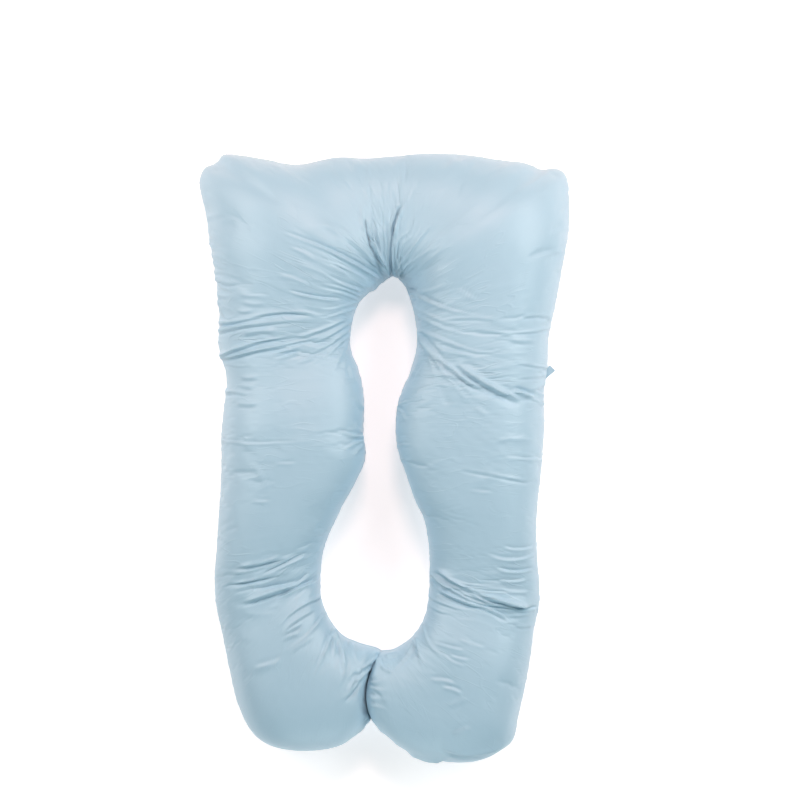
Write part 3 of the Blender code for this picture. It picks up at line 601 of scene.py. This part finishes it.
for vertex, amount in zip(numbered.flat, slack[:, lanes].flat):
    eased.add([int(vertex)], float(amount), "REPLACE")
cloth = face_cloth.modifiers.new("cloth", "CLOTH").settings
cloth.quality = 5
cloth.mass = 0.15
cloth.tension_stiffness = cloth.compression_stiffness = 20
cloth.shear_stiffness = 6
cloth.bending_stiffness = 0.02
cloth.tension_damping = cloth.compression_damping = cloth.shear_damping = 8
cloth.air_damping = 2
cloth.vertex_group_mass = "sewn"
cloth.vertex_group_shrink = "eased"
cloth.shrink_min = -least_excess
cloth.shrink_max = -most_excess
cloth.use_pressure = True
cloth.uniform_pressure_force = sim_pressure
cloth.effector_weights.gravity = 0
for step in range(1, sim_frames + 1):
    bpy.context.scene.frame_set(step)
pressed = face_cloth.evaluated_get(bpy.context.evaluated_depsgraph_get()).to_mesh()
after_sim = np.empty(before_sim.size)
pressed.vertices.foreach_get("co", after_sim)
bpy.data.objects.remove(face_cloth, do_unlink=True)
bpy.context.scene.frame_set(1)

moved = after_sim.reshape(before_sim.shape) - before_sim
weights = np.hanning(slow_rings + 2)[1:-1]
weights /= weights.sum()
padded = np.pad(moved, ((slow_rings // 2,) * 2, (0, 0), (0, 0)), mode="edge")
swelling = sum(w * padded[k : k + len(moved)] for k, w in enumerate(weights))
wrinkled = moved - swelling
size = np.linalg.norm(wrinkled, axis=2, keepdims=True)
wrinkled *= most_move * np.tanh(size / most_move) / np.maximum(size, 1e-9)
every_lane = np.arange(last_top + lip_spans + 1)
for ring, row in zip(shell, wrinkled):
    for axis in range(3):
        ring[every_lane, axis] += np.interp(every_lane, lanes, row[:, axis])

# Finer wrinkles than the cloth above can show, most of them across the tube:
# how many to a metre along it and round it, how broad, and how deep.
wrinkle_sizes = ((26, 4.5, 0.24, 0.0018), (48, 9.0, 0.24, 0.0010))
wrinkle_mean = 0.45         # taken off, so that they lie as much over as under
round_step = np.linalg.norm(np.diff(shell, axis=1, prepend=shell[:, -1:]), axis=2)
round_step[:, 0] = 0
round_run = np.cumsum(round_step, axis=1)
normals = outward(shell)
for per_metre, round_per_metre, breadth, depth in wrinkle_sizes:
    weft = [
        noise.noise(Vector((a * per_metre, r * round_per_metre, per_metre)))
        for a, ring in zip(stations, round_run)
        for r in ring
    ]
    weft = np.array(weft).reshape(on_face.shape) / breadth
    wrinkle = np.exp(-(weft**2)) - wrinkle_mean
    shell -= normals * (near_edge * slack * depth * wrinkle)[..., None]

# Gathers: short pleats that the seam's thread pulls into both panels. The
# seam is drawn up tight at the places in the table: where it lies, how far the
# tightness reaches along the seam and how much deeper the pleats are there.
Tight = namedtuple("Tight", "x y reach amount")
tight_places = (
    Tight(-0.429, 0.520, 0.060, 0.6),
    Tight(-0.419, 0.430, 0.090, 1.0),
    Tight(-0.402, 0.260, 0.050, 0.8),
    Tight(-0.390, 0.150, 0.040, 0.9),
    Tight(-0.055, 0.040, 0.050, 1.6),
    Tight(-0.075, 0.190, 0.060, 0.7),
    Tight(0.035, 0.110, 0.070, 1.2),
    Tight(0.120, -0.290, 0.050, 0.5),
    Tight(0.455, 0.640, 0.110, 0.5),
    Tight(0.398, 0.190, 0.070, 0.8),
    Tight(0.385, -0.350, 0.040, 0.6),
    Tight(-0.033, -0.510, 0.050, 1.5),
    Tight(-0.048, -0.660, 0.050, 1.0),
    Tight(0.030, -0.690, 0.090, 1.5),
    Tight(0.130, -0.745, 0.060, 0.8),
)
gather_seed = 7
gather_pitch = 0.015        # along the seam, from one pleat to the next
pleat_reach = (0.010, 0.034)
pleat_width = (0.0035, 0.0070)
pleat_depth = (0.0006, 0.0020)
pleat_slant = 0.25
pleat_span = 0.06           # along the seam, past which a pleat is nothing
longer_if_tight, least_depth = 0.8, 0.7
pleats = np.random.default_rng(gather_seed)
seam_columns = (0, top_spans + 2 * lip_spans)   # the outer and the inner seam
normals = outward(shell)
pulled = np.zeros(on_face.shape)
for column in seam_columns:
    edge = shell[:, column]
    edge_run = np.concatenate([[0], np.cumsum(np.linalg.norm(np.diff(edge, axis=0), axis=1))])
    tight = np.zeros(len(edge))
    for place in tight_places:
        off = np.hypot(edge[:, 0] - place.x, edge[:, 1] - place.y) / place.reach
        tight += place.amount * np.exp(-(off**2))
    hoop = np.linalg.norm(shell - edge[:, None], axis=2)
    count = int(edge_run[-1] / gather_pitch)
    for k in range(count):
        middle = (k + pleats.uniform(0, 1)) * gather_pitch
        here = np.interp(middle, edge_run, tight)
        reach = pleats.uniform(*pleat_reach) * (1 + longer_if_tight * here)
        wide = pleats.uniform(*pleat_width)
        deep = pleats.uniform(*pleat_depth) * (least_depth + here)
        slant = pleats.normal(0, pleat_slant)
        near = np.abs(edge_run - middle) < pleat_span
        v = (edge_run[near, None] - middle - slant * hoop[near]) / wide
        fall = np.exp(-((hoop[near] / reach) ** 2)) * (1 + slack[near])
        pulled[near] += deep * fall * np.exp(-(v**2))
shell -= normals * pulled[..., None]

# The thread holds the cover back, so that it bulges past its seam by a hair
# at most.
most_bulge = 0.0015
over_tube = across / width[..., None]
lane_run = ((shell[..., :2] - outer_edge) * over_tube).sum(axis=2)
past_outer = np.maximum(-lane_run, 0)
past_inner = np.maximum(lane_run - width, 0)
for past, way in ((past_outer, 1), (past_inner, -1)):
    held_back = past - most_bulge * np.tanh(past / most_bulge)
    shell[..., :2] += way * held_back[..., None] * over_tube

# The rounded ends press together at the top of the line where they meet, and
# what is all but on the floor lies on it.
meet_x, meet_y, meet_reach, meet_push = -0.016, -0.492, 0.028, 0.006
lies_below = 0.0004
end_way = np.gradient((plan[:, 0:2] + plan[:, 2:4]) / 2, axis=0)
end_way /= np.linalg.norm(end_way, axis=1, keepdims=True)
end_way[: len(end_way) // 2] *= -1
off = np.hypot(shell[..., 0] - meet_x, shell[..., 1] - meet_y) / meet_reach
shell[..., :2] += (meet_push * np.exp(-(off**2)))[..., None] * end_way[:, None]
shell[..., 2] = np.where(shell[..., 2] < lies_below, 0.0, shell[..., 2])

# The mesh, with the cloth's own measure in its UV map: metres along the tube
# and metres round it.
round_step = np.linalg.norm(np.diff(shell, axis=1, append=shell[:, :1]), axis=2)
round_run = np.concatenate([np.zeros((len(shell), 1)), np.cumsum(round_step, axis=1)], axis=1)
tube = bmesh.new()
rows = [[tube.verts.new(point) for point in ring] for ring in shell]
cloth_uv = tube.loops.layers.uv.new("cloth")
for i in range(len(rows) - 1):
    for k in range(ring_size):
        n = (k + 1) % ring_size
        face = tube.faces.new((rows[i][k], rows[i][n], rows[i + 1][n], rows[i + 1][k]))
        face.smooth = True
        corners = ((i, k), (i, k + 1), (i + 1, k + 1), (i + 1, k))
        for loop, (ring, step) in zip(face.loops, corners):
            loop[cloth_uv].uv = (stations[ring], round_run[ring, step])
ends = [tube.faces.new(rows[0]), tube.faces.new(rows[-1])]
bmesh.ops.triangulate(tube, faces=ends, ngon_method="EAR_CLIP")
bmesh.ops.recalc_face_normals(tube, faces=tube.faces)
cover = bpy.data.meshes.new("pillow_cover")
tube.to_mesh(cover)
tube.free()
ease = cover.attributes.new("slack", "FLOAT", "POINT")
ease.data.foreach_set("value", (slack * near_edge).ravel())
pillow = bpy.data.objects.new("filled_tube", cover)
bpy.context.scene.collection.objects.link(pillow)


def texture_group(name, inputs, outputs):
    """An empty node group with those sockets, and its nodes and links."""
    group = bpy.data.node_groups.new(name, "ShaderNodeTree")
    for direction, sockets in (("INPUT", inputs), ("OUTPUT", outputs)):
        for label, kind in sockets:
            group.interface.new_socket(label, in_out=direction, socket_type=kind)
    given = group.nodes.new("NodeGroupInput")
    result = group.nodes.new("NodeGroupOutput")
    return group, group.nodes, group.links, given, result


def cloth_group():
    """Cloth seen close: yarn height and a slow drift of shade."""
    group, nodes, links, given, result = texture_group(
        "Woven cotton",
        [("Vector", "NodeSocketVector"), ("Yarns per metre", "NodeSocketFloat")],
        [("Yarn height", "NodeSocketFloat"), ("Shade", "NodeSocketFloat")],
    )
    stretch = nodes.new("ShaderNodeVectorMath")
    stretch.operation = "MULTIPLY"
    stretch.inputs[1].default_value = (0.35, 1, 1)
    yarns = nodes.new("ShaderNodeTexNoise")
    yarns.inputs["Detail"].default_value = 2
    links.new(given.outputs["Vector"], stretch.inputs[0])
    links.new(stretch.outputs[0], yarns.inputs["Vector"])
    links.new(given.outputs["Yarns per metre"], yarns.inputs["Scale"])
    links.new(yarns.outputs["Fac"], result.inputs["Yarn height"])

    drift = nodes.new("ShaderNodeTexNoise")
    drift.inputs["Scale"].default_value = 9
    drift.inputs["Detail"].default_value = 3
    links.new(given.outputs["Vector"], drift.inputs["Vector"])
    links.new(drift.outputs["Fac"], result.inputs["Shade"])
    return group


def pucker_group():
    """Hairline creases, most of them across the tube, in scattered patches."""
    group, nodes, links, given, result = texture_group(
        "Hairline creases",
        [("Vector", "NodeSocketVector"), ("Slack", "NodeSocketFloat")],
        [("Height", "NodeSocketFloat")],
    )
    height = None
    for scale, turn, long, thin in hairlines:
        lie = nodes.new("ShaderNodeMapping")
        lie.inputs["Rotation"].default_value = (0, 0, turn)
        lie.inputs["Scale"].default_value = (1, long, 1)
        ripple = nodes.new("ShaderNodeTexNoise")
        ripple.inputs["Scale"].default_value = scale
        ripple.inputs["Detail"].default_value = 1
        ripple.inputs["Distortion"].default_value = 0.3
        off_middle = nodes.new("ShaderNodeMath")
        off_middle.operation = "SUBTRACT"
        off_middle.inputs[1].default_value = 0.5
        folded = nodes.new("ShaderNodeMath")
        folded.operation = "ABSOLUTE"
        line = nodes.new("ShaderNodeMapRange")
        line.interpolation_type = "SMOOTHSTEP"
        line.inputs["From Max"].default_value = thin
        line.inputs["To Min"].default_value = 1
        line.inputs["To Max"].default_value = 0
        patches = nodes.new("ShaderNodeTexNoise")
        patches.inputs["Scale"].default_value = 11
        patches.inputs["Detail"].default_value = 2
        shift = nodes.new("ShaderNodeVectorMath")
        shift.inputs[1].default_value = (turn, scale, 0)
        here = nodes.new("ShaderNodeMapRange")
        here.inputs["From Min"].default_value = 0.48
        here.inputs["From Max"].default_value = 0.66
        here.inputs["To Min"].default_value = 0.05
        drawn = nodes.new("ShaderNodeMath")
        drawn.operation = "MULTIPLY"
        links.new(given.outputs["Vector"], lie.inputs["Vector"])
        links.new(lie.outputs["Vector"], ripple.inputs["Vector"])
        links.new(ripple.outputs["Fac"], off_middle.inputs[0])
        links.new(off_middle.outputs[0], folded.inputs[0])
        links.new(folded.outputs[0], line.inputs["Value"])
        links.new(given.outputs["Vector"], shift.inputs[0])
        links.new(shift.outputs[0], patches.inputs["Vector"])
        links.new(patches.outputs["Fac"], here.inputs["Value"])
        links.new(line.outputs["Result"], drawn.inputs[0])
        links.new(here.outputs["Result"], drawn.inputs[1])
        if height is not None:
            both = nodes.new("ShaderNodeMath")
            links.new(height, both.inputs[0])
            links.new(drawn.outputs[0], both.inputs[1])
            drawn = both
        height = drawn.outputs[0]
    share = nodes.new("ShaderNodeMath")
    share.operation = "MULTIPLY_ADD"
    share.inputs[1].default_value = 0.8
    share.inputs[2].default_value = 0.2
    worn = nodes.new("ShaderNodeMath")
    worn.operation = "MULTIPLY"
    links.new(given.outputs["Slack"], share.inputs[0])
    links.new(height, worn.inputs[0])
    links.new(share.outputs[0], worn.inputs[1])
    links.new(worn.outputs[0], result.inputs["Height"])
    return group


# Two sets of hairline creases: how many to a metre, turned by how much, how
# drawn out along the line and how thin.
Hairline = namedtuple("Hairline", "scale turn long thin")
hairlines = (
    Hairline(24, 0.10, 0.20, 0.028),
    Hairline(38, -0.25, 0.26, 0.038),
)
woven_cotton = cloth_group()
fine_puckers = pucker_group()
sateen = bpy.data.materials.new("pillow_sateen")
sateen.use_nodes = True
nodes, links = sateen.node_tree.nodes, sateen.node_tree.links
shader = nodes["Principled BSDF"]
shader.inputs["Sheen Weight"].default_value = 0.15
shader.inputs["Sheen Roughness"].default_value = 0.45
shader.inputs["Specular IOR Level"].default_value = 0.85
cloth_map = nodes.new("ShaderNodeUVMap")
cloth_map.uv_map = "cloth"
weave = nodes.new("ShaderNodeGroup")
weave.node_tree = woven_cotton
weave.inputs["Yarns per metre"].default_value = 1400
links.new(cloth_map.outputs["UV"], weave.inputs["Vector"])
tint = nodes.new("ShaderNodeMix")
tint.data_type = "RGBA"
tint.inputs["A"].default_value = (0.379, 0.560, 0.667, 1)
tint.inputs["B"].default_value = (0.409, 0.590, 0.697, 1)
links.new(weave.outputs["Shade"], tint.inputs["Factor"])
links.new(tint.outputs["Result"], shader.inputs["Base Color"])
rough = nodes.new("ShaderNodeMapRange")
rough.inputs["To Min"].default_value = 0.42
rough.inputs["To Max"].default_value = 0.52
links.new(weave.outputs["Shade"], rough.inputs["Value"])
links.new(rough.outputs["Result"], shader.inputs["Roughness"])
eased_off = nodes.new("ShaderNodeAttribute")
eased_off.attribute_name = "slack"
puckers = nodes.new("ShaderNodeGroup")
puckers.node_tree = fine_puckers
links.new(cloth_map.outputs["UV"], puckers.inputs["Vector"])
links.new(eased_off.outputs["Fac"], puckers.inputs["Slack"])
creasing = nodes.new("ShaderNodeBump")
creasing.inputs["Distance"].default_value = 0.0011
links.new(puckers.outputs["Height"], creasing.inputs["Height"])
relief = nodes.new("ShaderNodeBump")
relief.inputs["Strength"].default_value = 0.25
relief.inputs["Distance"].default_value = 0.0004
links.new(weave.outputs["Yarn height"], relief.inputs["Height"])
links.new(creasing.outputs["Normal"], relief.inputs["Normal"])
links.new(relief.outputs["Normal"], shader.inputs["Normal"])
cover.materials.append(sateen)

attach(pillow, "root")
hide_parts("pillow")


# Side tab ------------------------------------------------------------------
# A short piece of blank woven tape, folded in two and caught in the seam of
# the right arm, with its fold standing out at a slant.
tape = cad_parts["side_tab"]
tape_finish = sateen.copy()
tape_finish.name = "tab_tape"
shader = tape_finish.node_tree.nodes["Principled BSDF"]
for link in list(tape_finish.node_tree.links):
    if link.from_node.type == "UVMAP":
        tape_finish.node_tree.links.remove(link)
own_place = tape_finish.node_tree.nodes.new("ShaderNodeTexCoord")
tape_weave = tape_finish.node_tree.nodes["Group"]
tape_finish.node_tree.links.new(own_place.outputs["Object"], tape_weave.inputs["Vector"])
tape.data.materials.clear()
tape.data.materials.append(tape_finish)


# Floor, light and camera ---------------------------------------------------
# A plain pale floor that runs out of view and glows a little, a painted light
# that is a little stronger towards the toes, so that it comes out nearly white;
# six soft lights round the pillow, the strongest beyond the crossbar; and a pale
# room, all of it seen from straight above.
floor_size = 24
bpy.ops.object.select_all(action="DESELECT")
bpy.ops.mesh.primitive_plane_add(size=floor_size)
floor = bpy.context.active_object
floor.name = "floor"
paint = bpy.data.materials.new("floor_paint_and_glow")
paint.use_nodes = True
shader = paint.node_tree.nodes["Principled BSDF"]
shader.inputs["Base Color"].default_value = (0.93, 0.86, 0.84, 1)
shader.inputs["Roughness"].default_value = 0.8
shader.inputs["Emission Color"].default_value = (1, 0.95, 0.94, 1)
shader.inputs["Specular IOR Level"].default_value = 0.1
floor_place = paint.node_tree.nodes.new("ShaderNodeTexCoord")
down_floor = paint.node_tree.nodes.new("ShaderNodeSeparateXYZ")
# Painted light: the floor's glow is stronger towards the toes' end than beyond the crossbar,
# and as it glows it also lights the pillow from below.
glow = paint.node_tree.nodes.new("ShaderNodeMapRange")
glow.inputs["From Min"].default_value = -1.1
glow.inputs["From Max"].default_value = 0.9
glow.inputs["To Min"].default_value = 0.52
glow.inputs["To Max"].default_value = 0.44
paint.node_tree.links.new(floor_place.outputs["Object"], down_floor.inputs["Vector"])
paint.node_tree.links.new(down_floor.outputs["Y"], glow.inputs["Value"])
paint.node_tree.links.new(glow.outputs["Result"], shader.inputs["Emission Strength"])
floor.data.materials.append(paint)

# warmth: 0 is white, under 0 cooler.
Softbox = namedtuple("Softbox", "name x y z size power warmth")
softboxes = (
    Softbox("left_softbox", -2.5, 0.6, 2.4, 2.0, 30.6, -0.5),
    Softbox("right_softbox", 2.5, 0.6, 2.4, 2.0, 43, -0.5),
    Softbox("left_upper", -2.2, 1.5, 1.8, 1.6, 27.6, 1.0),
    Softbox("right_upper", 2.2, 1.5, 1.8, 1.6, 25.6, 1.0),
    Softbox("high_key", 0.2, 2.4, 4.0, 1.0, 74, 1.6),
    Softbox("low_fill", 0.0, -2.4, 0.9, 1.4, 14.3, -0.5),
)
aim = Vector((0, 0, 0.1))
less_green, less_blue = 0.18, 0.22      # at a warmth of 1
for box in softboxes:
    light = bpy.data.lights.new(box.name, "AREA")
    light.size = box.size
    light.energy = box.power
    light.color = (1.0, 1 - less_green * box.warmth, 1 - less_blue * box.warmth)
    lamp = bpy.data.objects.new(box.name, light)
    lamp.location = (box.x, box.y, box.z)
    lamp.rotation_euler = (aim - lamp.location).to_track_quat("-Z", "Y").to_euler()
    bpy.context.scene.collection.objects.link(lamp)

room = bpy.data.worlds.new("pale_room")
room.use_nodes = True
room.node_tree.nodes["Background"].inputs["Color"].default_value = (0.66, 0.99, 1.06, 1)
room.node_tree.nodes["Background"].inputs["Strength"].default_value = 0.12
bpy.context.scene.world = room
bpy.context.scene.view_settings.view_transform = "Standard"

camera_height = 7.0
seam_height = 0.10
frame_width = 1.977         # at the height of the seam
frame_middle = (0.038, 0.142)
sensor_width = 36           # millimetres
camera_data = bpy.data.cameras.new("camera")
camera_data.sensor_width = sensor_width
camera_data.lens = sensor_width * (camera_height - seam_height) / frame_width
camera = bpy.data.objects.new("camera", camera_data)
camera.location = (*frame_middle, camera_height)
bpy.context.scene.collection.objects.link(camera)
bpy.context.scene.camera = camera
